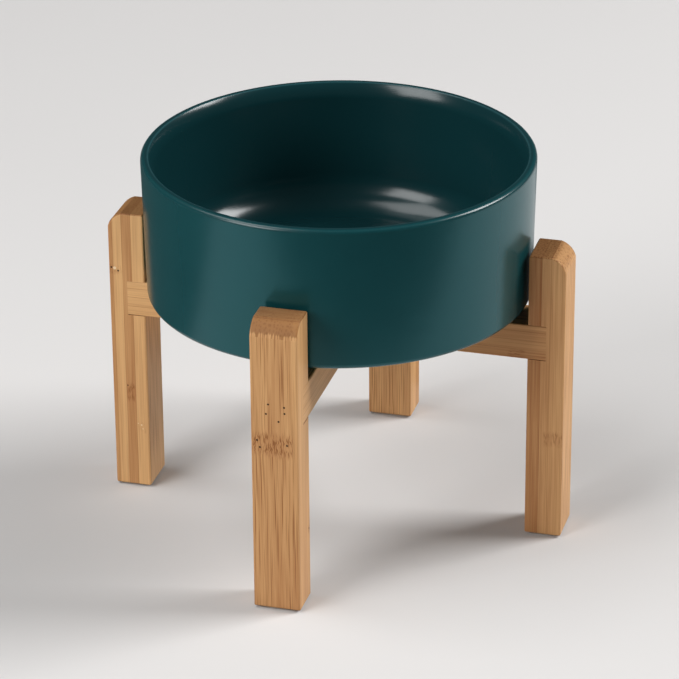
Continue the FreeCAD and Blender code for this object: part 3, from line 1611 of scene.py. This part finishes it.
@dataclass(frozen=True)
class SoftBox:
    """Rectangular studio light aimed at the bowl; angles in degrees, sizes in metres."""

    name: str
    azimuth: float
    elevation: float
    width: float
    height: float
    brightness: float
    distance: float = 3.0

    def place(self, target: Vector) -> None:
        """Hang the light so that it faces the target.

        Args:
            target: Point that the light is aimed at.
        """
        turn = Matrix.Rotation(math.radians(self.azimuth), 3, "Z")
        tilt = Matrix.Rotation(-math.radians(self.elevation), 3, "Y")
        direction = turn @ tilt @ Vector((1, 0, 0))
        light = bpy.data.lights.new(self.name, "AREA")
        light.shape = "RECTANGLE"
        light.size = self.width
        light.size_y = self.height
        light.energy = self.brightness * math.pi * self.width * self.height
        lamp = bpy.data.objects.new(self.name, light)
        lamp.location = target + direction * self.distance
        lamp.rotation_euler = direction.to_track_quat("Z", "Y").to_euler()
        bpy.context.scene.collection.objects.link(lamp)


@dataclass(frozen=True)
class PaintedReflectionCard:
    """Card lying on the floor that only mirrored light sees, a painted reflection in the glaze and wood;
    sizes in metres.
    """

    name: str
    azimuth: float
    near_edge: float
    size: float
    lift: float
    finish: SheetFinish

    def lay(self) -> None:
        """Lay the card with its near edge square to its direction from the bowl's axis."""
        turn = math.radians(self.azimuth)
        middle = Matrix.Rotation(turn, 3, "Z") @ Vector((self.near_edge + self.size / 2, 0, self.lift))
        card = lay_sheet(self.name, self.finish, self.size, middle, turn)
        card.visible_camera = False
        card.visible_diffuse = False
        card.visible_shadow = False
        card.visible_transmission = False


@dataclass(frozen=True)
class Studio:
    """Pale floor, soft boxes, cards that paint reflections into the glaze and wood, faint room light and
    the camera.
    """

    floor_size: float = 40.0
    floor: SheetFinish = SheetFinish(
        colour=(0.648, 0.635, 0.627), cloud=(0.668, 0.655, 0.647), cloud_size=300.0, cloud_share=1.0,
        roughness=0.7)
    cards: tuple[PaintedReflectionCard, ...] = (
        # Glowing pale card: painted bright reflection and sheen on the glaze and the wood.
        PaintedReflectionCard("painted_sheen_card", azimuth=0.0, near_edge=-4.0, size=8.0, lift=0.2 * MM,
                  finish=SheetFinish((0.2, 0.2, 0.2), glow=0.5)),
        # Dark cards: painted dark reflections, standing in for shade mirrored in the glaze.
        PaintedReflectionCard("front_painted_reflection_card", azimuth=-60.0, near_edge=0.335, size=2.4, lift=0.5 * MM,
                  finish=SheetFinish((0.015, 0.015, 0.016))),
        PaintedReflectionCard("back_painted_reflection_card", azimuth=145.0, near_edge=0.19, size=2.4, lift=0.5 * MM,
                  finish=SheetFinish((0.045, 0.07, 0.07))),
        PaintedReflectionCard("edge_painted_reflection_card", azimuth=78.0, near_edge=0.15, size=0.23, lift=0.8 * MM,
                  finish=SheetFinish((0.01, 0.01, 0.01))),
    )
    lights: tuple[SoftBox, ...] = (
        SoftBox("key", azimuth=25.0, elevation=38.0, width=1.4, height=1.3, brightness=15.5),
        SoftBox("fill", azimuth=-127.0, elevation=28.0, width=1.45, height=1.75, brightness=7.1),
        SoftBox("high_fill", azimuth=-165.0, elevation=60.0, width=1.6, height=1.6, brightness=4.4),
    )
    aim_height: float = 0.12
    room_colour: Colour = (0.80, 0.80, 0.82)
    room_strength: float = 0.05
    camera_place: Place = (0.459154, -1.653498, 0.916467)
    camera_yaw: float = -15.5297
    camera_pitch: float = 25.5027
    camera_roll: float = -0.4268
    lens: float = 186.968
    sensor: float = 36.0

    def make(self) -> None:
        """Set up the whole studio."""
        lay_sheet("studio_floor", self.floor, self.floor_size, Vector(), 0.0)
        self._room()
        for card in self.cards:
            card.lay()
        for light in self.lights:
            light.place(Vector((0, 0, self.aim_height)))
        self._camera()
        bpy.context.scene.view_settings.view_transform = "Standard"

    def _room(self) -> None:
        """Fill the room with faint even light."""
        world = bpy.data.worlds.new("studio_room")
        world.use_nodes = True
        background = world.node_tree.nodes["Background"]
        background.inputs["Color"].default_value = (*self.room_colour, 1)
        background.inputs["Strength"].default_value = self.room_strength
        bpy.context.scene.world = world

    def _camera(self) -> None:
        """Stand the camera where the photograph was taken from."""
        data = bpy.data.cameras.new("photo_view")
        data.lens = self.lens
        data.sensor_width = self.sensor
        camera = bpy.data.objects.new("photo_view", data)
        turn = Matrix.Rotation(-math.radians(self.camera_yaw), 4, "Z")
        tilt = Matrix.Rotation(math.pi / 2 - math.radians(self.camera_pitch), 4, "X")
        roll = Matrix.Rotation(math.radians(self.camera_roll), 4, "Z")
        camera.matrix_world = Matrix.Translation(self.camera_place) @ turn @ tilt @ roll
        bpy.context.scene.collection.objects.link(camera)
        bpy.context.scene.camera = camera


def main() -> None:
    """Build the bowl, the stand and the studio in order."""
    logging.basicConfig(level=logging.INFO, format="%(name)s: %(message)s")
    Bowl(GlazeFinish()).make()
    Stand(BambooFinish(), DowelFinish(), PadFinish()).make()
    Studio().make()


if __name__ == "__main__":
    main()
